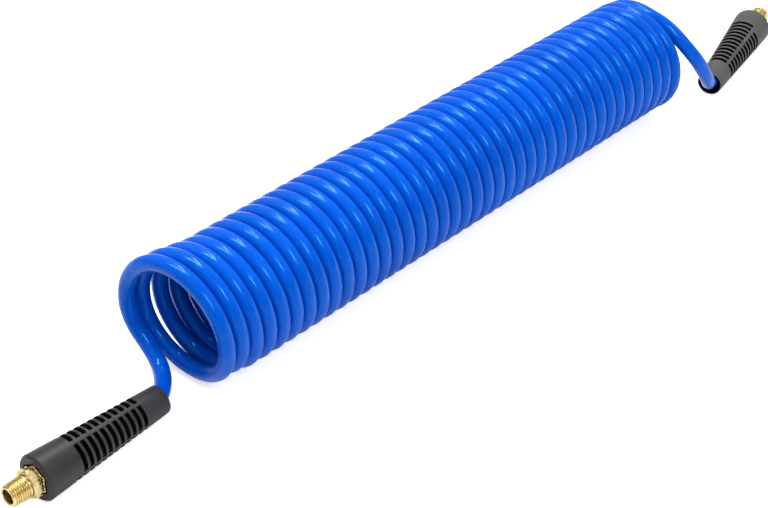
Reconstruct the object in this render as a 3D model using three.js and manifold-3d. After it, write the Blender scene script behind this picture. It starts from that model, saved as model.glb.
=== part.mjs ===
// A self-coiling polyurethane air hose with a bend restrictor and a swivel pipe-thread fitting at
// each end, lying on a floor. Millimetres, +Z up.
//
// The hose is one tube, 10 mm outside and 6.5 mm bore. Its coil lies along X, with its near end at
// low X. Solids of the hose: a plain ring for the closed coil, one tube for each tail with the
// loosened turns it leaves from, and a hollow sleeve for each end that sits on a barbed stem.
//
// Two frames are used. The coil frame has its origin on the floor under the coil's axis, where the
// hose's first turn starts. Each end fitting is made in its own frame, with +Z along the hose from
// the restrictor's mouth towards the thread, and is then laid down where that end lies.

import * as THREE from "three";
import { mergeVertices } from "three/addons/utils/BufferGeometryUtils.js";
import Module from "manifold-3d";

const wasm = await Module();
wasm.setup();

// The hose and its coil.
const HOSE_RADIUS = 5;
const HOSE_BORE_RADIUS = 3.25;
const TURN_RADIUS = 36; // of the hose's centreline
const TURN_PITCH = 10.24; // turns lie side by side with a hair of room
const COIL_RADIUS = TURN_RADIUS + HOSE_RADIUS;
const COIL_BORE_RADIUS = TURN_RADIUS - HOSE_RADIUS;
const COIL_AXIS_HEIGHT = COIL_RADIUS;
const COIL_TURNS = 41.05; // from the near tail's start, on the left, to the far tail's
const NEAR_LOOSE_TURNS = 2.3; // turns at the near end that the near tail's solid holds
const FAR_LOOSE_START = 40.05; // the turn from which the far tail's solid holds them
const NEAR_LEANS = [6.8, 6, 3.9, 2.7, 1.5, 0.5]; // how far each of the first turns leans out of the coil
const NEAR_LEAN_WIDTH = 0.2; // in turns
const NEAR_LIFT = 2.5; // how much higher the first turns stand
const NEAR_LIFT_TURNS = [1.8, 2.8]; // where the lift runs out
const SWELLS = [
  // where, in turns, the loose turns spring outwards or draw in, how far and over what width
  { turn: 0.13, reach: 2.2, width: 0.16 },
  { turn: 0.88, reach: 2.6, width: 0.12 },
  { turn: 1.13, reach: 1.2, width: 0.16 },
  { turn: 1.88, reach: 1, width: 0.12 },
  { turn: 40.31, reach: -2.4, width: 0.1 },
  { turn: 40.56, reach: 1.2, width: 0.1 },
];
const GAP = 0.3; // between solids that meet

// The route of each tail, from the coil to where it runs straight in its restrictor.
const NEAR_TAIL = [
  [-7, 35.9, 36.9],
  [-7, 33.5, 30.9],
  [-6.6, 30.4, 25.7],
  [-6.1, 26.7, 21.2],
  [-6, 22.5, 17.3],
  [-6.6, 17.6, 14],
  [-8, 12.3, 11.5],
  [-10.2, 7.5, 9.9],
  [-13.7, 2.3, 8.8],
  [-18.4, -2.9, 8.4],
  [-24.8, -8, 8.7],
  [-31.5, -9.3, 8.7],
  [-38.6, -10.7, 9.5],
];
const FAR_TAIL = [
  [420.8, 29.9, 60.3],
  [421.3, 24, 66.4],
  [421.6, 17.4, 70.6],
  [421.8, 10.6, 72.9],
  [422, 4.2, 73.7],
  [422.2, -1.6, 73.4],
  [422.4, -6.6, 72.4],
  [422.9, -11.2, 71.1],
  [423.7, -15.5, 69.7],
  [424.6, -19.9, 67.6],
  [425.8, -24.7, 64.4],
  [427.7, -30.5, 59.2],
  [430.1, -34.8, 53.8],
  [433.3, -38.2, 48],
  [436.9, -40.6, 42],
  [440.7, -41.9, 36],
  [444.7, -42.2, 30.3],
  [448.8, -41.7, 24.8],
  [453.3, -40.3, 19.6],
  [458.8, -37.7, 14.5],
  [466, -34.5, 10.4],
  [474.5, -32.1, 9.9],
];

// Where each restrictor's mouth is in the coil frame, which way it points, in radians from +X, and
// how far its rows of slots are turned round it.
const NEAR_MOUTH = { x: -25.68, y: -9.9, heading: 3.2135, turn: THREE.MathUtils.degToRad(-108) };
const FAR_MOUTH = { x: 465.7, y: -34.1, heading: 0.2507, turn: THREE.MathUtils.degToRad(38) };

// Stations along an end fitting, from the restrictor's mouth.
const RESTRICTOR_LENGTH = 89;
const MOUTH_FLARE_LENGTH = 18;
const STRAIGHT_ENTRY = 4; // of the tail's solid, at the end of the flare
const SEAT_START = 57; // of the ferrule's seat
const POCKET_START = 81; // of the pocket round the stem's collar
const STEM_START = 61;
const HOSE_END = 83;
const FERRULE_START = 62;
const FERRULE_DIMPLES = [68, 77];
const FERRULE_END = 83.6;
const COLLAR_START = 85;
const COLLAR_END = 89.6;
const WASHER_START = 89.75;
const NOSE_START = 90.8;
const NOSE_HEX_END = 95.4;
const NOSE_END = 107.4;
const SPIGOT_END = 98.6;
const SOCKET_END = 99;

// The bend restrictor.
const MOUTH_RADIUS = 8.9;
const REAR_RADIUS = 14.1;
const MOUTH_BORE_RADIUS = 8.1;
const HOSE_WAY_RADIUS = 5.45;
const SEAT_RADIUS = 6.9;
const POCKET_RADIUS = 10.4;
const RESTRICTOR_EDGE = 0.5; // chamfer on the outer edges
const SLOTS_START = 17.9;
const SLOT_PITCH = 4.55;
const SLOT_WIDTH = 2.7;
const SLOTS_IN_ROW = [12, 11, 11, 11];
const SLOT_SPAN = THREE.MathUtils.degToRad(77);
const SLOT_FLOOR_RADII = [7, 8.6]; // of the sleeve left at the bottom of the first and last slots
const SLOT_REACH = 16; // beyond the restrictor's outside

// The brass fitting: a barbed stem with a hex collar, and a nose that turns on its spigot.
const HEX_FLATS = 16;
const HEX_CHAMFER = 1.2;
const STEM_BORE_RADIUS = 2.4;
const BARB_RADIUS = 3.6;
const BARB_ROOT_RADIUS = 3.1;
const BARB_COUNT = 6;
const BARB_PITCH = 3;
const SHOULDER_RADIUS = 6.2;
const SPIGOT_RADIUS = 4.5;
const SOCKET_RADIUS = 4.75;
const RING_GROOVE = { station: 93, width: 1.1, spigotRadius: 3.95, socketRadius: 5.25 };
const SEAL_GROOVE = { station: 96.4, width: 1.6, radius: 3.3 };
const NOSE_BORE_RADIUS = 4.4;
const THREAD_PITCH = 1.411; // 18 to the inch
const THREAD_DEPTH = 1.05;
const THREAD_START_RADIUS = 6.93; // crest at the hex
const THREAD_TAPER = 1 / 32; // of radius to length
const THREAD_CRESTS = 8;
const THREAD_START = NOSE_HEX_END + 0.5;

// Small pieces.
const HOSE_ON_BARBS_RADIUS = 5.3;
const HOSE_ON_BARBS_BORE = 3.65;
const FERRULE_BORE_RADIUS = 5.4;
const FERRULE_RADIUS = 6.5;
const FERRULE_DIMPLE = 0.35;
const SEAL_CENTRE_RADIUS = 4.02;
const SEAL_SECTION_RADIUS = 0.65;
const RING_CENTRE_RADIUS = 4.6;
const RING_SECTION_RADIUS = 0.42;
const RING_OPENING = THREE.MathUtils.degToRad(28);
const WASHER_RADII = [4.8, 7.2];
const WASHER_THICKNESS = 0.9;

// Facets: the sides of round pieces and the length of a tube's steps.
const ROUND = 16;
const COIL_SIDES = 40;
const TUBE_SIDES = 10;
const TUBE_STEP = 12.8;
const SMALL_SIDES = 6;

const finish = (color, roughness, metalness) =>
  new THREE.MeshStandardMaterial({ color, roughness, metalness });
const POLYURETHANE = finish(0x0a5be0, 0.22, 0);
const RUBBER = finish(0x3a3a3e, 0.65, 0);
const BRASS = finish(0xd0a85a, 0.3, 1);
const SEAL_RUBBER = finish(0x151515, 0.7, 0);
const BRONZE = finish(0x8a6238, 0.45, 1);
const SPRING_STEEL = finish(0x8d9096, 0.35, 1);

// --- Shapes ---

// A body turned round +Z from [radius, station] corners. The outline closes on itself, and runs up
// the outside and down the inside.
function turned(corners, sides = ROUND) {
  const toPoint = ([radius, station]) => new THREE.Vector2(radius, station);
  const outline = [...corners, corners[0]].map(toPoint);
  const geometry = new THREE.LatheGeometry(outline, sides);
  geometry.rotateX(Math.PI / 2);
  return geometry;
}

function hexPrism(acrossFlats, start, end) {
  const corner = acrossFlats / Math.sqrt(3);
  const geometry = new THREE.CylinderGeometry(corner, corner, end - start, 6);
  geometry.rotateX(Math.PI / 2);
  geometry.translate(0, 0, (start + end) / 2);
  return geometry;
}

function toSolid(geometry) {
  const bare = geometry.index ? geometry.clone() : mergeVertices(geometry);
  for (const name of Object.keys(bare.attributes)) {
    if (name !== "position") bare.deleteAttribute(name);
  }
  const merged = mergeVertices(bare, 1e-4);
  const vertProperties = new Float32Array(merged.attributes.position.array);
  const triVerts = new Uint32Array(merged.index.array);
  return new wasm.Manifold(new wasm.Mesh({ numProp: 3, vertProperties, triVerts }));
}

function toGeometry(solid) {
  const mesh = solid.getMesh();
  const geometry = new THREE.BufferGeometry();
  geometry.setAttribute("position", new THREE.BufferAttribute(mesh.vertProperties, 3));
  geometry.setIndex(new THREE.BufferAttribute(mesh.triVerts, 1));
  return geometry;
}

function roundSection(radius, sides) {
  const shape = new THREE.Shape();
  for (let side = 0; side < sides; side += 1) {
    const angle = ((side + 0.5) / sides) * 2 * Math.PI;
    const corner = [radius * Math.cos(angle), radius * Math.sin(angle)];
    if (side === 0) shape.moveTo(...corner);
    else shape.lineTo(...corner);
  }
  shape.closePath();
  return shape;
}

function tube(points, radius, sides, step) {
  const path = new THREE.CatmullRomCurve3(points, false, "centripetal");
  const steps = Math.ceil(path.getLength() / step);
  return new THREE.ExtrudeGeometry(roundSection(radius, sides), { steps, extrudePath: path });
}

function named(name, geometry, material) {
  const mesh = new THREE.Mesh(geometry, material);
  mesh.name = name;
  return mesh;
}

// --- The hose ---

// The hose's centreline in the coil, counted in turns from the near tail's start on the left. The
// end turns are loosened by their tails.
function coilPoint(turns) {
  const angle = 2 * Math.PI * turns;
  const fading = (distance, width) => Math.exp(-((distance / width) ** 2));
  let lean = 0;
  NEAR_LEANS.forEach((reach, turn) => {
    lean += reach * fading(turns - turn, NEAR_LEAN_WIDTH);
  });
  let radius = TURN_RADIUS;
  for (const { turn, reach, width } of SWELLS) {
    radius += reach * fading(turns - turn, width);
  }
  const lift = NEAR_LIFT * (1 - THREE.MathUtils.smoothstep(turns, ...NEAR_LIFT_TURNS));
  return new THREE.Vector3(
    TURN_PITCH * turns - lean,
    radius * Math.cos(angle),
    COIL_AXIS_HEIGHT + radius * Math.sin(angle) + lift,
  );
}

function coilPoints(from, to) {
  const perTurn = 16;
  const count = Math.round(Math.abs(to - from) * perTurn);
  return Array.from({ length: count + 1 }, (_, i) => coilPoint(from + ((to - from) * i) / count));
}

function hoseCoil() {
  const start = coilPoint(NEAR_LOOSE_TURNS).x + HOSE_RADIUS + GAP;
  const end = coilPoint(FAR_LOOSE_START).x - HOSE_RADIUS - GAP;
  const round = 2;
  // The outside's flats, not its corners, are at the coil's radius, and one lies on the floor.
  const outer = COIL_RADIUS / Math.cos(Math.PI / COIL_SIDES);
  const geometry = turned(
    [
      [COIL_BORE_RADIUS + round, start],
      [outer - round, start],
      [outer, start + round],
      [outer, end - round],
      [outer - round, end],
      [COIL_BORE_RADIUS + round, end],
      [COIL_BORE_RADIUS, end - round],
      [COIL_BORE_RADIUS, start + round],
    ],
    COIL_SIDES,
  );
  geometry.rotateZ(Math.PI / COIL_SIDES);
  geometry.rotateY(Math.PI / 2);
  geometry.translate(0, 0, COIL_AXIS_HEIGHT);
  return named("hose_coil", geometry, POLYURETHANE);
}

const toPoints = (list) => list.map((point) => new THREE.Vector3(...point));

// The point on a fitting's axis at a station, in the coil frame.
function onAxis(mouth, station) {
  return new THREE.Vector3(0, 0, station).applyMatrix4(fittingFrame(mouth));
}

function hoseTail(name, coilStretch, tail, mouth) {
  const straight = [MOUTH_FLARE_LENGTH - STRAIGHT_ENTRY, MOUTH_FLARE_LENGTH];
  const entry = straight.map((station) => onAxis(mouth, station));
  const points = [...coilStretch, ...toPoints(tail), ...entry];
  return named(`${name}_hose_tail`, tube(points, HOSE_RADIUS, TUBE_SIDES, TUBE_STEP), POLYURETHANE);
}

// The straight stretch of hose in the restrictor, swelled where the barbs fill it.
function hoseEnd() {
  const swell = STEM_START - 1;
  return turned([
    [HOSE_RADIUS, MOUTH_FLARE_LENGTH + GAP],
    [HOSE_RADIUS, swell - 2],
    [HOSE_ON_BARBS_RADIUS, swell],
    [HOSE_ON_BARBS_RADIUS, HOSE_END],
    [HOSE_ON_BARBS_BORE, HOSE_END],
    [HOSE_ON_BARBS_BORE, swell],
    [HOSE_BORE_RADIUS, swell - 2],
    [HOSE_BORE_RADIUS, MOUTH_FLARE_LENGTH + GAP],
  ]);
}

// --- The end fitting ---

function slotCutter(slot, row, turn) {
  const middle = turn + ((row + 0.5) / SLOTS_IN_ROW.length) * 2 * Math.PI;
  const [from, to] = [middle - SLOT_SPAN / 2, middle + SLOT_SPAN / 2];
  const floor = THREE.MathUtils.lerp(...SLOT_FLOOR_RADII, slot / SLOTS_IN_ROW[0]);
  const shape = new THREE.Shape();
  shape.absarc(0, 0, SLOT_REACH, from, to, false);
  shape.absarc(0, 0, floor, to, from, true);
  shape.closePath();
  const options = { depth: SLOT_WIDTH, bevelEnabled: false, curveSegments: 2 };
  const geometry = new THREE.ExtrudeGeometry(shape, options);
  geometry.translate(0, 0, SLOTS_START + SLOT_PITCH * slot);
  return geometry;
}

// A tapered rubber guard with rows of slots, and a plain spine between one row and the next.
function bendRestrictor(turn) {
  let solid = toSolid(
    turned([
      [MOUTH_RADIUS - RESTRICTOR_EDGE, 0],
      [MOUTH_RADIUS, RESTRICTOR_EDGE],
      [REAR_RADIUS, RESTRICTOR_LENGTH - RESTRICTOR_EDGE],
      [REAR_RADIUS - RESTRICTOR_EDGE, RESTRICTOR_LENGTH],
      [POCKET_RADIUS, RESTRICTOR_LENGTH],
      [POCKET_RADIUS, POCKET_START],
      [SEAT_RADIUS, POCKET_START],
      [SEAT_RADIUS, SEAT_START],
      [HOSE_WAY_RADIUS, SEAT_START],
      [HOSE_WAY_RADIUS, MOUTH_FLARE_LENGTH],
      [MOUTH_BORE_RADIUS, 0],
    ], 20),
  );
  SLOTS_IN_ROW.forEach((slots, row) => {
    for (let slot = 0; slot < slots; slot += 1) {
      solid = solid.subtract(toSolid(slotCutter(slot, row, turn)));
    }
  });
  return toGeometry(solid);
}

// A hex with its front corners turned off.
function chamferedHex(start, end, chamferFront, chamferBack) {
  const corner = HEX_FLATS / Math.sqrt(3);
  const envelope = turned([
    [corner + 0.5 - (chamferBack ? HEX_CHAMFER : 0), start - 0.01],
    [corner + 0.5, start + (chamferBack ? HEX_CHAMFER * 0.6 : 0)],
    [corner + 0.5, end - (chamferFront ? HEX_CHAMFER * 0.6 : 0)],
    [corner + 0.5 - (chamferFront ? HEX_CHAMFER : 0), end + 0.01],
    [1, end + 0.01],
    [1, start - 0.01],
  ]);
  return toSolid(hexPrism(HEX_FLATS, start, end)).intersect(toSolid(envelope));
}

// The stem: barbs for the hose, a shoulder, a hex collar, and the spigot that the nose turns on.
function barbStem() {
  const outline = [];
  for (let barb = 0; barb < BARB_COUNT; barb += 1) {
    const station = STEM_START + barb * BARB_PITCH;
    outline.push([BARB_ROOT_RADIUS, station], [BARB_RADIUS, station + BARB_PITCH - 0.4]);
  }
  outline.push(
    [BARB_ROOT_RADIUS, STEM_START + BARB_COUNT * BARB_PITCH],
    [BARB_ROOT_RADIUS, HOSE_END + GAP],
    [BARB_ROOT_RADIUS, FERRULE_END + GAP],
    [SHOULDER_RADIUS, FERRULE_END + GAP],
    [SHOULDER_RADIUS, COLLAR_END],
    [SPIGOT_RADIUS, COLLAR_END],
    [SPIGOT_RADIUS, RING_GROOVE.station - RING_GROOVE.width / 2],
    [RING_GROOVE.spigotRadius, RING_GROOVE.station - RING_GROOVE.width / 2],
    [RING_GROOVE.spigotRadius, RING_GROOVE.station + RING_GROOVE.width / 2],
    [SPIGOT_RADIUS, RING_GROOVE.station + RING_GROOVE.width / 2],
    [SPIGOT_RADIUS, SEAL_GROOVE.station - SEAL_GROOVE.width / 2],
    [SEAL_GROOVE.radius, SEAL_GROOVE.station - SEAL_GROOVE.width / 2],
    [SEAL_GROOVE.radius, SEAL_GROOVE.station + SEAL_GROOVE.width / 2],
    [SPIGOT_RADIUS, SEAL_GROOVE.station + SEAL_GROOVE.width / 2],
    [SPIGOT_RADIUS, SPIGOT_END],
    [STEM_BORE_RADIUS, SPIGOT_END],
    [STEM_BORE_RADIUS, STEM_START],
  );
  const bore = turned([[STEM_BORE_RADIUS, COLLAR_START - 1], [STEM_BORE_RADIUS, COLLAR_END + 1],
    [0, COLLAR_END + 1], [0, COLLAR_START - 1]]);
  const collar = chamferedHex(COLLAR_START, COLLAR_END, true, false).subtract(toSolid(bore));
  return toGeometry(toSolid(turned(outline)).add(collar));
}

// The nose: a hex to turn it by, a tapered pipe thread, and a socket that runs on the spigot.
function swivelNose() {
  const outline = [[THREAD_START_RADIUS - THREAD_DEPTH, NOSE_START]];
  outline.push([THREAD_START_RADIUS - THREAD_DEPTH, THREAD_START]);
  for (let crest = 0; crest < THREAD_CRESTS; crest += 1) {
    const station = THREAD_START + THREAD_PITCH * (crest + 0.5);
    const radius = THREAD_START_RADIUS - THREAD_TAPER * (station - THREAD_START);
    outline.push([radius, station - 0.12], [radius, station + 0.12]);
    outline.push([radius - THREAD_DEPTH, station + THREAD_PITCH / 2]);
  }
  const tipRadius = outline.at(-1)[0];
  outline.push([tipRadius, NOSE_END], [NOSE_BORE_RADIUS, NOSE_END], [NOSE_BORE_RADIUS, SOCKET_END]);
  outline.push([SOCKET_RADIUS, SOCKET_END]);
  outline.push([SOCKET_RADIUS, RING_GROOVE.station + RING_GROOVE.width / 2]);
  outline.push([RING_GROOVE.socketRadius, RING_GROOVE.station + RING_GROOVE.width / 2]);
  outline.push([RING_GROOVE.socketRadius, RING_GROOVE.station - RING_GROOVE.width / 2]);
  outline.push([SOCKET_RADIUS, RING_GROOVE.station - RING_GROOVE.width / 2]);
  outline.push([SOCKET_RADIUS, NOSE_START]);
  const core = THREAD_START_RADIUS - THREAD_DEPTH - 0.2;
  const middle = turned([[core, NOSE_START - 1], [core, NOSE_HEX_END + 1],
    [0, NOSE_HEX_END + 1], [0, NOSE_START - 1]]);
  const hex = chamferedHex(NOSE_START, NOSE_HEX_END, true, false).subtract(toSolid(middle));
  return toGeometry(toSolid(turned(outline)).add(hex));
}

function crimpFerrule() {
  const outline = [[FERRULE_RADIUS, FERRULE_START]];
  for (const station of FERRULE_DIMPLES) {
    outline.push([FERRULE_RADIUS, station - 1], [FERRULE_RADIUS - FERRULE_DIMPLE, station - 0.4]);
    outline.push([FERRULE_RADIUS - FERRULE_DIMPLE, station + 0.4], [FERRULE_RADIUS, station + 1]);
  }
  outline.push([FERRULE_RADIUS, FERRULE_END], [FERRULE_BORE_RADIUS, FERRULE_END]);
  outline.push([FERRULE_BORE_RADIUS, FERRULE_START]);
  return turned(outline);
}

function sealRing() {
  const geometry = new THREE.TorusGeometry(SEAL_CENTRE_RADIUS, SEAL_SECTION_RADIUS, SMALL_SIDES, 18);
  geometry.translate(0, 0, SEAL_GROOVE.station);
  return geometry;
}

// An open ring of spring wire, half in the spigot's groove and half in the nose's.
function retainingRing() {
  const points = [];
  const count = 18;
  for (let i = 0; i <= count; i += 1) {
    const angle = RING_OPENING / 2 + ((2 * Math.PI - RING_OPENING) * i) / count;
    const [x, y] = [RING_CENTRE_RADIUS * Math.cos(angle), RING_CENTRE_RADIUS * Math.sin(angle)];
    points.push(new THREE.Vector3(x, y, RING_GROOVE.station));
  }
  return tube(points, RING_SECTION_RADIUS, SMALL_SIDES, 1.8);
}

function thrustWasher() {
  const end = WASHER_START + WASHER_THICKNESS;
  return turned([[WASHER_RADII[1], WASHER_START], [WASHER_RADII[1], end], [WASHER_RADII[0], end],
    [WASHER_RADII[0], WASHER_START]]);
}

// The frame of a fitting that lies on the floor: the restrictor touches it all along one side.
function fittingFrame({ x, y, heading }) {
  const tilt = Math.asin((REAR_RADIUS - MOUTH_RADIUS) / RESTRICTOR_LENGTH);
  const level = Math.cos(tilt);
  const along = new THREE.Vector3(level * Math.cos(heading), level * Math.sin(heading), Math.sin(tilt));
  const side = new THREE.Vector3(0, 0, 1).cross(along).normalize();
  const up = new THREE.Vector3().crossVectors(along, side);
  const frame = new THREE.Matrix4().makeBasis(side, up, along);
  return frame.setPosition(x, y, MOUTH_RADIUS / level + 0.02);
}

function endFitting(name, mouth) {
  const fitting = new THREE.Group();
  fitting.applyMatrix4(fittingFrame(mouth));
  fitting.add(
    named(`${name}_hose_end`, hoseEnd(), POLYURETHANE),
    named(`${name}_bend_restrictor`, bendRestrictor(mouth.turn), RUBBER),
    named(`${name}_crimp_ferrule`, crimpFerrule(), BRASS),
    named(`${name}_barb_stem`, barbStem(), BRASS),
    named(`${name}_swivel_washer`, thrustWasher(), BRONZE),
    named(`${name}_retaining_ring`, retainingRing(), SPRING_STEEL),
    named(`${name}_swivel_o_ring`, sealRing(), SEAL_RUBBER),
    named(`${name}_swivel_nose`, swivelNose(), BRASS),
  );
  return fitting;
}

// --- The hose assembly ---

const assembly = new THREE.Group();
assembly.add(
  hoseCoil(),
  hoseTail("near", coilPoints(NEAR_LOOSE_TURNS, 0), NEAR_TAIL, NEAR_MOUTH),
  hoseTail("far", coilPoints(FAR_LOOSE_START, COIL_TURNS), FAR_TAIL, FAR_MOUTH),
  endFitting("near", NEAR_MOUTH),
  endFitting("far", FAR_MOUTH),
);

// The origin is on the floor, under the middle of the whole hose.
assembly.updateMatrixWorld(true);
const bounds = new THREE.Box3().setFromObject(assembly, true);
const middle = bounds.getCenter(new THREE.Vector3());
assembly.position.set(-middle.x, -middle.y, -bounds.min.z);

const hose = new THREE.Group();
hose.add(assembly);

export default hose;
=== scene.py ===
"""The looks of a self-coiling air hose with a bend restrictor and a swivel fitting at each end."""

import math

import bpy
import numpy as np
from mathutils import Matrix, Vector


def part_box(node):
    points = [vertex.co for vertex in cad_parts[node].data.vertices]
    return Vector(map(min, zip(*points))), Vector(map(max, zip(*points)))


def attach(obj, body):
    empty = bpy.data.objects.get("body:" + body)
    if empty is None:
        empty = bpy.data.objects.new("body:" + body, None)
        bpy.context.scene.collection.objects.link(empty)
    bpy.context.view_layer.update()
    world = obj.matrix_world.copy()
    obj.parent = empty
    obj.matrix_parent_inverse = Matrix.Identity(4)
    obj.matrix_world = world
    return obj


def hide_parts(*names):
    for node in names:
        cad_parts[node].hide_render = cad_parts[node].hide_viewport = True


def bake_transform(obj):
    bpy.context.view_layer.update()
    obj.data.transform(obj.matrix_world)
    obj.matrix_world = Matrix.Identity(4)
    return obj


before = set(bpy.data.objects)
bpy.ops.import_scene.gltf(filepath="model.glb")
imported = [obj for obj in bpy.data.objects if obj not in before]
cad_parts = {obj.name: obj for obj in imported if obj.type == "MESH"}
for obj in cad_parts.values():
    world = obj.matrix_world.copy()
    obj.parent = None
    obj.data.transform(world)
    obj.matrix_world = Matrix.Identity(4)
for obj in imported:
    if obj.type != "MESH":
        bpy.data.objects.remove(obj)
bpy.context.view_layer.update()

MM = 0.001

# --- Sizes, in millimetres, as in the CAD source ---

HOSE_RADIUS = 5
TURN_RADIUS = 36
TURN_PITCH = 10.24
COIL_RADIUS = TURN_RADIUS + HOSE_RADIUS
COIL_TURNS = 41.05
NEAR_LOOSE_TURNS = 2.3
NEAR_LEANS = (6.8, 6, 3.9, 2.7, 1.5, 0.5)
NEAR_LEAN_WIDTH = 0.2
NEAR_LIFT = 2.5
NEAR_LIFT_TURNS = (1.8, 2.8)
SWELLS = (  # turn, reach and width of each place where a loose turn springs outwards or draws in
    (0.13, 2.2, 0.16), (0.88, 2.6, 0.12), (1.13, 1.2, 0.16), (1.88, 1, 0.12),
    (40.31, -2.4, 0.1), (40.56, 1.2, 0.1),
)
GAP = 0.3

NEAR_TAIL = [
    (-7, 35.9, 36.9), (-7, 33.5, 30.9), (-6.6, 30.4, 25.7), (-6.1, 26.7, 21.2),
    (-6, 22.5, 17.3), (-6.6, 17.6, 14), (-8, 12.3, 11.5), (-10.2, 7.5, 9.9),
    (-13.7, 2.3, 8.8), (-18.4, -2.9, 8.4), (-24.8, -8, 8.7), (-31.5, -9.3, 8.7),
    (-38.6, -10.7, 9.5),
]
FAR_TAIL = [
    (420.8, 29.9, 60.3), (421.3, 24, 66.4), (421.6, 17.4, 70.6), (421.8, 10.6, 72.9),
    (422, 4.2, 73.7), (422.2, -1.6, 73.4), (422.4, -6.6, 72.4), (422.9, -11.2, 71.1),
    (423.7, -15.5, 69.7), (424.6, -19.9, 67.6), (425.8, -24.7, 64.4), (427.7, -30.5, 59.2),
    (430.1, -34.8, 53.8), (433.3, -38.2, 48), (436.9, -40.6, 42), (440.7, -41.9, 36),
    (444.7, -42.2, 30.3), (448.8, -41.7, 24.8), (453.3, -40.3, 19.6), (458.8, -37.7, 14.5),
    (466, -34.5, 10.4), (474.5, -32.1, 9.9),
]
NEAR_MOUTH = (-25.68, -9.9, 3.2135)  # x, y and heading in radians
FAR_MOUTH = (465.7, -34.1, 0.2507)

# Stations along an end fitting, from the restrictor's mouth.
RESTRICTOR_LENGTH = 89
MOUTH_FLARE_LENGTH = 18
STRAIGHT_ENTRY = 4
SEAT_START = 57
STEM_START = 61
POCKET_START = 81
HOSE_END = 83
COLLAR_START = 85
COLLAR_END = 89.6
WASHER_START = 89.75
NOSE_START = 90.8
RING_GROOVE = 93
NOSE_HEX_END = 95.4
SEAL_GROOVE = 96.4
SPIGOT_END = 98.6
SOCKET_END = 99
NOSE_END = 107.4

# The bend restrictor.
MOUTH_RADIUS = 8.9
REAR_RADIUS = 14.1
MOUTH_BORE_RADIUS = 8.1
HOSE_WAY_RADIUS = 5.45
SEAT_RADIUS = 6.9
POCKET_FLATS = 17.4
MOUTH_LIP = 0.35
REAR_CHAMFER = 1.5
SLOTS_START = 17.9
SLOT_PITCH = 4.55
SLOT_WIDTH = 2.7
SLOTS_IN_ROW = (12, 11, 11, 11)
SLOT_FLOOR_RADII = (6.7, 8.0)
ROW_TURN = {"near": math.radians(-108), "far": math.radians(38)}

# The brass fitting.
STEM_BORE_RADIUS = 2.4
BARB_RADIUS = 3.6
BARB_ROOT_RADIUS = 3.1
BARB_COUNT = 6
BARB_PITCH = 3
SHOULDER_RADIUS = 6.2
SHOULDER_LENGTH = 1.1
SPIGOT_RADIUS = 4.5
SOCKET_RADIUS = 4.75
NOSE_BORE_RADIUS = 4.4
WASHER_RADII = (4.85, 7.2)
HEX_FLATS = 16
HEX_CORNER = HEX_FLATS / math.sqrt(3)
THREAD_PITCH = 1.411
THREAD_DEPTH = 1.05
THREAD_START_RADIUS = 6.93
THREAD_START = NOSE_HEX_END + 0.5


# --- Mesh makers ---

def add_mesh(name, points, faces, matrix=None):
    """A mesh object in metres from points in millimetres, with rounded faces shaded smooth."""
    points = np.asarray(points, float)
    if matrix is not None:
        points = points @ np.array(matrix.to_3x3()).T + np.array(matrix.translation)
    mesh = bpy.data.meshes.new(name)
    mesh.from_pydata((points * MM).tolist(), [], faces)
    mesh.validate()
    mesh.shade_smooth()
    obj = bpy.data.objects.new(name, mesh)
    bpy.context.scene.collection.objects.link(obj)
    return obj


def ring_faces(rings, sides, closed):
    """Quads between successive rings of points; closed joins the last ring to the first."""
    last = rings if closed else rings - 1
    faces = []
    for i in range(last):
        a, b = i * sides, ((i + 1) % rings) * sides
        for j in range(sides):
            k = (j + 1) % sides
            faces.append((a + j, a + k, b + k, b + j))
    return faces


def lathe(name, outline, matrix, sides=96, warp=None):
    """A closed body turned round +Z. outline is a closed loop of (radius, station)."""
    outline = np.array(outline, float)
    angle = np.arange(sides) * 2 * math.pi / sides
    radius = np.repeat(outline[:, :1], sides, axis=1)
    station = np.repeat(outline[:, 1:], sides, axis=1)
    if warp is not None:
        radius = warp(radius, station, angle[None, :])
    points = np.stack([radius * np.cos(angle), radius * np.sin(angle), station], axis=2)
    return add_mesh(name, points.reshape(-1, 3), ring_faces(len(outline), sides, True), matrix)


def hexagon(flats, angle):
    """The radius of a hexagon with that distance across its flats."""
    sector = np.mod(angle + math.pi / 6, math.pi / 3) - math.pi / 6
    return flats / 2 / np.cos(sector)


def smoothstep(x, low, high):
    t = np.clip((x - low) / (high - low), 0, 1)
    return t * t * (3 - 2 * t)


# --- Where things are ---

def coil_point(turns):
    """The hose's centreline in the coil, as in the CAD source."""
    angle = 2 * math.pi * turns
    lean = sum(reach * math.exp(-((turns - turn) / NEAR_LEAN_WIDTH) ** 2)
               for turn, reach in enumerate(NEAR_LEANS))
    radius = TURN_RADIUS + sum(reach * math.exp(-((turns - turn) / width) ** 2)
                               for turn, reach, width in SWELLS)
    lift = NEAR_LIFT * (1 - smoothstep(turns, *NEAR_LIFT_TURNS))
    return np.array([
        TURN_PITCH * turns - lean,
        radius * math.cos(angle),
        COIL_RADIUS + radius * math.sin(angle) + lift,
    ])


coil_low, coil_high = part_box("hose_coil")
coil_start = coil_point(NEAR_LOOSE_TURNS)[0] + HOSE_RADIUS + GAP
COIL_ORIGIN = np.array([
    coil_low.x / MM - coil_start,
    (coil_low.y + coil_high.y) / 2 / MM,
    coil_low.z / MM,
])


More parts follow.
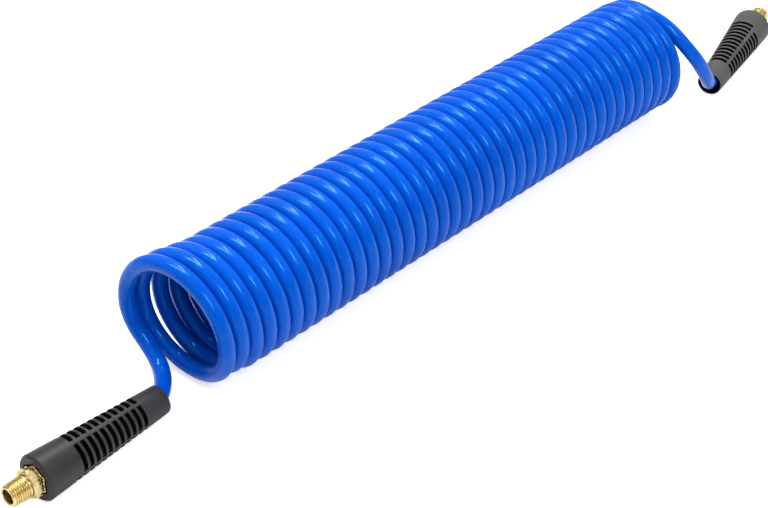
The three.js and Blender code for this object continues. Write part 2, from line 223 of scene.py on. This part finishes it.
def fitting_frame(mouth):
    """A fitting's frame in the row frame, in millimetres: +Z from the mouth to the thread."""
    x, y, heading = mouth
    tilt = math.asin((REAR_RADIUS - MOUTH_RADIUS) / RESTRICTOR_LENGTH)
    level = math.cos(tilt)
    along = Vector((level * math.cos(heading), level * math.sin(heading), math.sin(tilt)))
    side = Vector((0, 0, 1)).cross(along).normalized()
    up = along.cross(side)
    matrix = Matrix((side, up, along)).transposed().to_4x4()
    place = Vector((x, y, MOUTH_RADIUS / level + 0.02)) + Vector(COIL_ORIGIN)
    return Matrix.Translation(place) @ matrix


FRAMES = {"near": fitting_frame(NEAR_MOUTH), "far": fitting_frame(FAR_MOUTH)}


# --- Camera ---

def add_camera():
    azimuth, elevation, roll = 0.77088, 0.62790, -0.03892
    distance = 1018.6
    forward = Vector((math.sin(azimuth) * math.cos(elevation),
                      math.cos(azimuth) * math.cos(elevation), -math.sin(elevation)))
    level = Vector((math.cos(azimuth), -math.sin(azimuth), 0))
    rise = level.cross(forward)
    right = math.cos(roll) * level + math.sin(roll) * rise
    up = -math.sin(roll) * level + math.cos(roll) * rise
    middle = Vector(COIL_ORIGIN) + Vector((209.77, 0, COIL_RADIUS))
    aim = middle - right * 31.28 - up * 51.21
    data = bpy.data.cameras.new("camera")
    data.lens = 75.1
    data.sensor_width = 36
    data.clip_start = 0.05
    data.clip_end = 50
    camera = bpy.data.objects.new("camera", data)
    bpy.context.scene.collection.objects.link(camera)
    camera.matrix_world = (Matrix.Translation((aim - forward * distance) * MM)
                           @ Matrix((right, up, -forward)).transposed().to_4x4())
    bpy.context.scene.camera = camera


add_camera()


# --- The hose ---

def smooth_route(points, step):
    """A centripetal Catmull-Rom curve through the points, in even steps."""
    points = np.array(points, float)
    ends = [2 * points[0] - points[1], *points, 2 * points[-1] - points[-2]]
    out = []
    for a, b, c, d in zip(ends, ends[1:], ends[2:], ends[3:]):
        t = np.cumsum([0, *(np.sqrt(np.linalg.norm(q - p)) for p, q in ((a, b), (b, c), (c, d)))])
        for u in np.linspace(t[1], t[2], 12, endpoint=False):
            def mix(p, q, i, j):
                return (p * (t[j] - u) + q * (u - t[i])) / (t[j] - t[i])
            ab, bc, cd = mix(a, b, 0, 1), mix(b, c, 1, 2), mix(c, d, 2, 3)
            out.append(mix(mix(ab, bc, 0, 2), mix(bc, cd, 1, 3), 1, 2))
    out.append(points[-1])
    out = np.array(out)
    along = np.concatenate([[0], np.cumsum(np.linalg.norm(np.diff(out, axis=0), axis=1))])
    even = np.linspace(0, along[-1], int(round(along[-1] / step)) + 1)
    return np.stack([np.interp(even, along, out[:, k]) for k in range(3)], axis=1)


def sweep_frames(points):
    """Directions across a route that turn no more than they have to."""
    tangent = np.gradient(points, axis=0)
    tangent /= np.linalg.norm(tangent, axis=1)[:, None]
    across = np.cross(tangent[0], [0, 0, 1.0])
    across /= np.linalg.norm(across)
    sides = []
    for t in tangent:
        across = across - t * (across @ t)
        across /= np.linalg.norm(across)
        sides.append(across)
    sides = np.array(sides)
    return tangent, sides, np.cross(tangent, sides)


def hose_route():
    """The hose's centreline, from one stem to the other, in the row frame, in millimetres."""
    def on_axis(end, station):
        return np.array(FRAMES[end] @ Vector((0, 0, station)))
    per_turn = 16
    count = round(COIL_TURNS * per_turn)
    coil = [coil_point(COIL_TURNS * i / count) + COIL_ORIGIN for i in range(count + 1)]
    near = [np.array(p) + COIL_ORIGIN for p in NEAR_TAIL]
    far = [np.array(p) + COIL_ORIGIN for p in FAR_TAIL]
    entry = (MOUTH_FLARE_LENGTH - STRAIGHT_ENTRY, MOUTH_FLARE_LENGTH, 35, 50, 66, HOSE_END)
    in_near = [on_axis("near", station) for station in entry[::-1]]
    in_far = [on_axis("far", station) for station in entry]
    return smooth_route([*in_near, *near[::-1], *coil, *far, *in_far], 4.0)


HOSE_SIDES = 24
STRETCH_TURNS = (0.6, COIL_TURNS - 0.3)  # the turns between which the stretch is shared out
STRETCH_EASE = 0.012  # of the coil, over which the stretch sets in and runs out


def make_hose():
    route = hose_route()
    tangent, side, up = sweep_frames(route)
    angle = np.arange(HOSE_SIDES) * 2 * math.pi / HOSE_SIDES
    rings = (route[:, None, :]
             + HOSE_RADIUS * (np.cos(angle)[None, :, None] * side[:, None, :]
                              + np.sin(angle)[None, :, None] * up[:, None, :]))
    count = len(route)
    faces = ring_faces(count, HOSE_SIDES, False)
    faces.append(tuple(range(HOSE_SIDES))[::-1])
    faces.append(tuple((count - 1) * HOSE_SIDES + j for j in range(HOSE_SIDES)))
    hose = add_mesh("air_hose", rings.reshape(-1, 3), faces)
    along = np.concatenate([[0], np.cumsum(np.linalg.norm(np.diff(route, axis=0), axis=1))])
    return hose, route, along


hose, route, along = make_hose()
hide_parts("hose_coil", "near_hose_tail", "far_hose_tail", "near_hose_end", "far_hose_end")


def follow_stretch():
    """Bakes the hose's placement into its points and works out each point's share of a stretch
    between the closed turns; the share is not stored or used.
    """
    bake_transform(hose)

    def length_to(turns):
        place = coil_point(turns) + COIL_ORIGIN
        return along[np.argmin(np.linalg.norm(route - place, axis=1))]

    start, end = length_to(STRETCH_TURNS[0]), length_to(STRETCH_TURNS[1])
    part = np.clip((along - start) / (end - start), 0, 1)
    ease = STRETCH_EASE
    share = np.where(part < ease, part ** 2 / (2 * ease), part - ease / 2)
    late = 1 - part
    share = np.where(late < ease, 1 - ease - late ** 2 / (2 * ease), share) / (1 - ease)


follow_stretch()


# --- Materials ---

def material(name):
    made = bpy.data.materials.new(name)
    made.use_nodes = True
    tree = made.node_tree
    return made, tree.nodes, tree.links, tree.nodes["Principled BSDF"]


def noise(nodes, links, scale, detail=4, coordinates=None):
    node = nodes.new("ShaderNodeTexNoise")
    node.inputs["Scale"].default_value = scale
    node.inputs["Detail"].default_value = detail
    if coordinates is None:
        coordinates = nodes.new("ShaderNodeTexCoord").outputs["Object"]
    links.new(coordinates, node.inputs["Vector"])
    return node.outputs["Fac"]


def ramp(nodes, links, source, low, high, start=0.3, end=0.7):
    """Two colours, or two grey levels, mixed by a texture."""
    node = nodes.new("ShaderNodeValToRGB")
    for element, place, value in zip(node.color_ramp.elements, (start, end), (low, high)):
        element.position = place
        colour = value if isinstance(value, tuple) else (value,) * 3
        element.color = (*colour, 1)
    links.new(source, node.inputs["Fac"])
    return node.outputs["Color"]


def bump(nodes, links, source, shader, strength, distance):
    node = nodes.new("ShaderNodeBump")
    node.inputs["Strength"].default_value = strength
    node.inputs["Distance"].default_value = distance
    links.new(source, node.inputs["Height"])
    links.new(node.outputs["Normal"], shader.inputs["Normal"])
    return node


def polyurethane():
    made, nodes, links, shader = material("hose_polyurethane")
    fine = noise(nodes, links, 300)
    broad = noise(nodes, links, 14, 2)
    links.new(ramp(nodes, links, broad, (0.0, 0.070, 0.46), (0.0, 0.090, 0.55)),
              shader.inputs["Base Color"])
    links.new(ramp(nodes, links, fine, 0.12, 0.22), shader.inputs["Roughness"])
    shader.inputs["IOR"].default_value = 1.5
    shader.inputs["Specular IOR Level"].default_value = 0.36
    shader.inputs["Specular Tint"].default_value = (0.15, 0.65, 1.0, 1.0)
    shader.inputs["Subsurface Weight"].default_value = 0.7
    shader.inputs["Subsurface Radius"].default_value = (0.1, 0.4, 1.0)
    shader.inputs["Subsurface Scale"].default_value = 0.005
    bump(nodes, links, noise(nodes, links, 360, 3), shader, 0.28, 0.0003)
    return made


def moulded_rubber(name, low, high, roughness, gloss):
    made, nodes, links, shader = material(name)
    fine = noise(nodes, links, 1500, 6)
    broad = noise(nodes, links, 40, 3)
    links.new(ramp(nodes, links, broad, low, high), shader.inputs["Base Color"])
    links.new(ramp(nodes, links, broad, roughness - 0.08, roughness + 0.08),
              shader.inputs["Roughness"])
    shader.inputs["Specular IOR Level"].default_value = gloss
    bump(nodes, links, fine, shader, 0.25, 0.0002)
    return made


def turned_brass():
    made, nodes, links, shader = material("turned_brass")
    broad = noise(nodes, links, 120, 4)
    links.new(ramp(nodes, links, broad, (0.66, 0.51, 0.22), (0.80, 0.66, 0.34)),
              shader.inputs["Base Color"])
    fine = noise(nodes, links, 700, 4)
    links.new(ramp(nodes, links, fine, 0.2, 0.38), shader.inputs["Roughness"])
    shader.inputs["Metallic"].default_value = 1
    bump(nodes, links, noise(nodes, links, 2500, 2), shader, 0.15, 0.0001)
    return made


def plain(name, low, high, roughness, metallic=0.0):
    """A small piece's material, a little uneven."""
    made, nodes, links, shader = material(name)
    texture = noise(nodes, links, 400, 4)
    links.new(ramp(nodes, links, texture, low, high), shader.inputs["Base Color"])
    links.new(ramp(nodes, links, texture, roughness - 0.08, roughness + 0.08),
              shader.inputs["Roughness"])
    shader.inputs["Metallic"].default_value = metallic
    bump(nodes, links, texture, shader, 0.1, 0.0001)
    return made


HOSE_BLUE = polyurethane()
# One rubber in two copies: the near copy is painted darker as painted shade and the far copy
# lighter as painted light, for how the light falls at each end.
RESTRICTOR_RUBBER_LIT_AND_SHADED = {
    "near": moulded_rubber("near_rubber_painted_shade", (0.011, 0.011, 0.013), (0.020, 0.020, 0.023), 0.45, 0.4),
    "far": moulded_rubber("far_rubber_painted_light", (0.055, 0.055, 0.055), (0.078, 0.078, 0.077), 0.6, 0.4),
}
# Near black: painted shade for the slot floors, the slot walls and the bore, where shade falls in
# the recesses.
SLOT_PAINTED_SHADE = moulded_rubber(
    "slot_painted_shade", (0.003, 0.003, 0.003), (0.006, 0.006, 0.006), 0.8, 0.05)
BRASS = turned_brass()
BRONZE = plain("washer_bronze", (0.22, 0.13, 0.05), (0.34, 0.22, 0.10), 0.45, 1.0)
SEAL = plain("seal_rubber", (0.012, 0.012, 0.012), (0.025, 0.025, 0.025), 0.6)
STEEL = plain("ring_steel", (0.42, 0.42, 0.43), (0.58, 0.58, 0.59), 0.3, 1.0)


def paint(obj, *finishes):
    obj.data.materials.clear()
    for finish in finishes:
        obj.data.materials.append(finish)


paint(hose, HOSE_BLUE)


# --- The bend restrictor ---

ROW_CELLS = 28  # cells round a quarter of the restrictor: the slots' share, then the spine's
SLOT_CELLS = 24
SIDES = ROW_CELLS * len(SLOTS_IN_ROW)


def restrictor_outside(station):
    """The outer radius, with a rounded front lip and a chamfered rear edge."""
    radius = MOUTH_RADIUS + (REAR_RADIUS - MOUTH_RADIUS) * station / RESTRICTOR_LENGTH
    if station < MOUTH_LIP:
        radius -= MOUTH_LIP - math.sqrt(max(MOUTH_LIP ** 2 - (MOUTH_LIP - station) ** 2, 0))
    past = station - (RESTRICTOR_LENGTH - REAR_CHAMFER)
    return radius - max(past, 0) * 0.9


def slot_floor(station):
    low, high = SLOT_FLOOR_RADII
    return low + (high - low) * (station - SLOTS_START) / (SLOT_PITCH * SLOTS_IN_ROW[0])


def restrictor_stations():
    edges = [0, MOUTH_LIP * 0.15, MOUTH_LIP * 0.5, MOUTH_LIP, 1.2]
    edges += np.linspace(4, SLOTS_START - 2, 4).tolist()
    for slot in range(SLOTS_IN_ROW[0]):
        start = SLOTS_START + SLOT_PITCH * slot
        edges += [start, start + SLOT_WIDTH]
    edges += np.linspace(edges[-1] + 2, RESTRICTOR_LENGTH - REAR_CHAMFER, 5).tolist()
    return [*edges, RESTRICTOR_LENGTH]


def in_slot(row, station):
    place = (station - SLOTS_START) / SLOT_PITCH
    return 0 <= place < SLOTS_IN_ROW[row] and (place % 1) * SLOT_PITCH < SLOT_WIDTH


def restrictor_bore():
    """The bore's (radius, station), from the rear face forwards to the mouth."""
    pocket = POCKET_FLATS / 2
    bore = [(pocket + 1, RESTRICTOR_LENGTH), (pocket + 0.8, RESTRICTOR_LENGTH - 0.6)]
    bore += [(pocket + 0.8, POCKET_START + 0.1), (SEAT_RADIUS, POCKET_START)]
    bore += [(SEAT_RADIUS, SEAT_START), (HOSE_WAY_RADIUS, SEAT_START)]
    for station in (MOUTH_FLARE_LENGTH, 12, 6, 2, 0.3):
        part = station / MOUTH_FLARE_LENGTH
        bore.append((MOUTH_BORE_RADIUS + (HOSE_WAY_RADIUS - MOUTH_BORE_RADIUS) * part, station))
    return [*bore, (MOUTH_BORE_RADIUS + 0.15, 0)]


def make_restrictor(end):
    stations = restrictor_stations()
    half_spine = (ROW_CELLS - SLOT_CELLS) / 2
    angles = [2 * math.pi * (j + half_spine) / SIDES + ROW_TURN[end] for j in range(SIDES)]
    points, faces, painted_shade_faces, known = [], [], [], {}

    # Faces given 1 take the near-black second material: painted shade in the slots and the bore.
    def add_face(corners, in_shade=0):
        faces.append(corners)
        painted_shade_faces.append(in_shade)

    def corner(level, i, j):
        key = (level, i, j % SIDES)
        if key not in known:
            station = stations[i]
            radius = restrictor_outside(station) if level == "outside" else slot_floor(station)
            angle = angles[j % SIDES]
            known[key] = len(points)
            points.append((radius * math.cos(angle), radius * math.sin(angle), station))
        return known[key]

    def level_of(i, j):
        row, cell = divmod(j % SIDES, ROW_CELLS)
        if not 0 <= i < len(stations) - 1 or cell >= SLOT_CELLS:
            return "outside"
        return "floor" if in_slot(row, (stations[i] + stations[i + 1]) / 2) else "outside"

    for i in range(len(stations) - 1):
        for j in range(SIDES):
            level = level_of(i, j)
            add_face((corner(level, i, j), corner(level, i, j + 1),
                      corner(level, i + 1, j + 1), corner(level, i + 1, j)),
                     int(level == "floor"))
            for other, a, b in ((level_of(i, j + 1), (i, j + 1), (i + 1, j + 1)),
                                (level_of(i + 1, j), (i + 1, j + 1), (i + 1, j))):
                if other != level:
                    add_face((corner(level, *b), corner(level, *a),
                              corner(other, *a), corner(other, *b)), 1)
    last = [corner("outside", len(stations) - 1, j) for j in range(SIDES)]
    first = [corner("outside", 0, j) for j in range(SIDES)]
    for radius, station in restrictor_bore():
        ring = []
        for angle in angles:
            here = radius
            if station > POCKET_START:
                here += float(hexagon(POCKET_FLATS, np.array(angle))) - POCKET_FLATS / 2 - 0.8
            ring.append(len(points))
            points.append((here * math.cos(angle), here * math.sin(angle), station))
        for j in range(SIDES):
            k = (j + 1) % SIDES
            add_face((last[j], last[k], ring[k], ring[j]), int(station < RESTRICTOR_LENGTH - 0.1))
        last = ring
    for j in range(SIDES):
        k = (j + 1) % SIDES
        add_face((last[j], last[k], first[k], first[j]))
    body = add_mesh(f"{end}_restrictor", points, faces, FRAMES[end])
    bevel = body.modifiers.new("edges", "BEVEL")
    bevel.width = 0.25 * MM
    bevel.segments = 2
    bevel.limit_method = "ANGLE"
    bevel.angle_limit = math.radians(40)
    bevel.use_clamp_overlap = True
    bevel.harden_normals = True
    # The end's rubber, then the near-black painted shade for the slots and the bore.
    paint(body, RESTRICTOR_RUBBER_LIT_AND_SHADED[end], SLOT_PAINTED_SHADE)
    body.data.polygons.foreach_set("material_index", painted_shade_faces)
    return body


# --- The fitting ---

def thread_radius(station, angle):
    """A tapered pipe thread's surface, with flat crests and roots that fade out at both ends."""
    turn = np.mod(station / THREAD_PITCH - angle / (2 * math.pi), 1)
    profile = np.clip(np.abs(turn - 0.5) * 2.6 - 0.18, 0, 1)
    fade = smoothstep(station, THREAD_START, THREAD_START + 1.3)
    crest = THREAD_START_RADIUS - (station - THREAD_START) / 32
    tip = smoothstep(station, NOSE_END - 1.4, NOSE_END)
    return np.minimum(crest - THREAD_DEPTH * profile * fade, crest - tip)


def nose_outline():
    """The swivel nose's outline: outside from the hex to the tip, then back down the bore."""
    outline = [(6.2, NOSE_START), (7.6, NOSE_START), (HEX_CORNER - 0.7, NOSE_START + 0.05)]
    outline += [(HEX_CORNER, NOSE_START + 0.5), (HEX_CORNER, NOSE_HEX_END - 1.0)]
    outline += [(HEX_CORNER - 0.5, NOSE_HEX_END - 0.72), (HEX_CORNER - 1.0, NOSE_HEX_END - 0.42)]
    outline += [(HEX_CORNER - 1.6, NOSE_HEX_END), (7.0, NOSE_HEX_END + 0.02)]
    outline += [(6.0, NOSE_HEX_END + 0.06), (5.9, NOSE_HEX_END + 0.4)]
    steps = 130
    for i in range(steps + 1):
        outline.append((6.5, THREAD_START + 0.05 + (NOSE_END - THREAD_START - 0.05) * i / steps))
    outline += [(5.2, NOSE_END), (4.9, NOSE_END - 0.05), (NOSE_BORE_RADIUS, NOSE_END - 0.5)]
    outline += [(NOSE_BORE_RADIUS, SOCKET_END), (SOCKET_RADIUS, SOCKET_END)]
    outline += [(SOCKET_RADIUS, RING_GROOVE + 0.56), (5.25, RING_GROOVE + 0.55)]
    outline += [(5.25, RING_GROOVE - 0.55), (SOCKET_RADIUS, RING_GROOVE - 0.56)]
    outline.append((SOCKET_RADIUS, NOSE_START + 0.2))
    return outline


def nose_shape(radius, station, angle):
    threaded = (station > THREAD_START + 0.03) & (radius > 6.4)
    hexed = (station <= NOSE_HEX_END + 0.01) & (radius > 7.4)
    shaped = np.where(threaded, thread_radius(station, angle), radius)
    return np.where(hexed, np.minimum(shaped, hexagon(HEX_FLATS, angle)), shaped)


def stem_outline():
    """The barbed stem's outline: barbs, shoulder, hex collar, and spigot with its two grooves."""
    outline = []
    for barb in range(BARB_COUNT):
        station = STEM_START + barb * BARB_PITCH
        outline += [(BARB_ROOT_RADIUS, station), (BARB_RADIUS, station + 2.5)]
        outline.append((BARB_RADIUS, station + 2.6))
    shoulder = COLLAR_START - SHOULDER_LENGTH
    outline.append((BARB_ROOT_RADIUS, STEM_START + BARB_COUNT * BARB_PITCH))
    outline += [(BARB_ROOT_RADIUS, shoulder), (SHOULDER_RADIUS, shoulder)]
    outline.append((SHOULDER_RADIUS, COLLAR_START))
    outline += [(HEX_CORNER - 0.7, COLLAR_START + 0.02), (HEX_CORNER, COLLAR_START + 0.5)]
    outline += [(HEX_CORNER, COLLAR_END - 0.7), (HEX_CORNER - 0.5, COLLAR_END - 0.4)]
    outline += [(HEX_CORNER - 1.3, COLLAR_END), (SPIGOT_RADIUS, COLLAR_END + 0.02)]
    for station, half, radius in ((RING_GROOVE, 0.54, 3.95), (SEAL_GROOVE, 0.79, 3.3)):
        outline += [(SPIGOT_RADIUS, station - half - 0.01), (radius, station - half)]
        outline += [(radius, station + half), (SPIGOT_RADIUS, station + half + 0.01)]
    outline += [(SPIGOT_RADIUS, SPIGOT_END - 0.3), (4.3, SPIGOT_END)]
    outline += [(STEM_BORE_RADIUS, SPIGOT_END), (STEM_BORE_RADIUS, STEM_START)]
    return outline


def stem_shape(radius, station, angle):
    hexed = (station > COLLAR_START + 0.01) & (station < COLLAR_END + 0.01) & (radius > 7)
    return np.where(hexed, np.minimum(radius, hexagon(HEX_FLATS, angle)), radius)


def washer_outline():
    inner, outer = WASHER_RADII
    start, end = WASHER_START + 0.05, WASHER_START + 0.85
    return [(outer, start), (outer, end), (inner, end), (inner, start)]


def sharpen(obj, degrees=38):
    obj.data.set_sharp_from_angle(angle=math.radians(degrees))


def make_fitting(end, body, nose_body):
    at = FRAMES[end]
    restrictor = make_restrictor(end)
    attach(restrictor, body)
    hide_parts(f"{end}_bend_restrictor")
    nose = lathe(f"{end}_pipe_nose", nose_outline(), at, 96, nose_shape)
    stem = lathe(f"{end}_stem", stem_outline(), at, 96, stem_shape)
    washer = lathe(f"{end}_washer", washer_outline(), at, 64)
    for piece, rides_on, node, finish, slot in (
        (nose, nose_body, "swivel_nose", BRASS, "brass"),
        (stem, body, "barb_stem", BRASS, "brass"),
        (washer, body, "swivel_washer", BRONZE, "washer"),
    ):
        sharpen(piece)
        paint(piece, finish)
        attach(piece, rides_on)
        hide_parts(f"{end}_{node}")
    kept = (("crimp_ferrule", BRASS), ("swivel_o_ring", SEAL), ("retaining_ring", STEEL))
    for node, finish in kept:
        paint(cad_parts[f"{end}_{node}"], finish)
    return [restrictor, stem, washer, nose]


make_fitting("near", "hose", "near_nose")
far_pieces = make_fitting("far", "far_end", "far_nose")


# --- Floor, light and background ---

def add_floor():
    size = 6.0
    corners = [(-size, -size, 0), (size, -size, 0), (size, size, 0), (-size, size, 0)]
    mesh = bpy.data.meshes.new("floor")
    mesh.from_pydata([(x, y, -0.0002) for x, y, _ in corners], [], [(0, 1, 2, 3)])
    floor = bpy.data.objects.new("floor", mesh)
    bpy.context.scene.collection.objects.link(floor)
    made, nodes, links, shader = material("floor_white")
    links.new(ramp(nodes, links, noise(nodes, links, 3), 0.74, 0.77), shader.inputs["Base Color"])
    shader.inputs["Roughness"].default_value = 0.6
    shader.inputs["Specular IOR Level"].default_value = 0.2
    shader.inputs["Emission Color"].default_value = (1, 1, 1, 1)
    glow = nodes.new("ShaderNodeMapRange")  # for the camera only, so that shadows look soft
    glow.inputs["To Max"].default_value = 0.6
    links.new(nodes.new("ShaderNodeLightPath").outputs["Is Camera Ray"], glow.inputs["Value"])
    links.new(glow.outputs["Result"], shader.inputs["Emission Strength"])
    paint(floor, made)


def add_light(name, location, aim, size, energy, colour=(1, 1, 1)):
    data = bpy.data.lights.new(name, "AREA")
    data.shape = "RECTANGLE"
    data.size, data.size_y = size
    data.energy = energy
    data.color = colour
    light = bpy.data.objects.new(name, data)
    bpy.context.scene.collection.objects.link(light)
    light.location = location
    light.rotation_mode = "QUATERNION"
    light.rotation_quaternion = (Vector(aim) - Vector(location)).to_track_quat("-Z", "Y")


def add_world():
    """Soft studio walls, darker towards the floor's edge; the camera itself sees plain white."""
    world = bpy.data.worlds.new("studio")
    world.use_nodes = True
    nodes, links = world.node_tree.nodes, world.node_tree.links
    height = nodes.new("ShaderNodeSeparateXYZ")
    links.new(nodes.new("ShaderNodeTexCoord").outputs["Generated"], height.inputs["Vector"])
    walls = nodes["Background"]
    links.new(ramp(nodes, links, height.outputs["Z"], 0.28, 0.8, 0.0, 0.8), walls.inputs["Color"])
    backdrop = nodes.new("ShaderNodeBackground")
    backdrop.inputs["Color"].default_value = (1, 1, 1, 1)
    seen = nodes.new("ShaderNodeMixShader")
    links.new(nodes.new("ShaderNodeLightPath").outputs["Is Camera Ray"], seen.inputs["Fac"])
    links.new(walls.outputs["Background"], seen.inputs[1])
    links.new(backdrop.outputs["Background"], seen.inputs[2])
    links.new(seen.outputs["Shader"], nodes["World Output"].inputs["Surface"])
    bpy.context.scene.world = world


add_floor()
add_world()
add_light("top", (-0.30, 0.42, 1.5), (0, 0, 0), (0.08, 0.75), 14)
add_light("top_pair", (0.35, 0.42, 1.5), (0, 0, 0), (0.08, 0.75), 12)
add_light("front", (-0.35, -1.1, 1.1), (0, 0, 0), (0.3, 0.5), 11)
bpy.context.scene.view_settings.view_transform = "Standard"
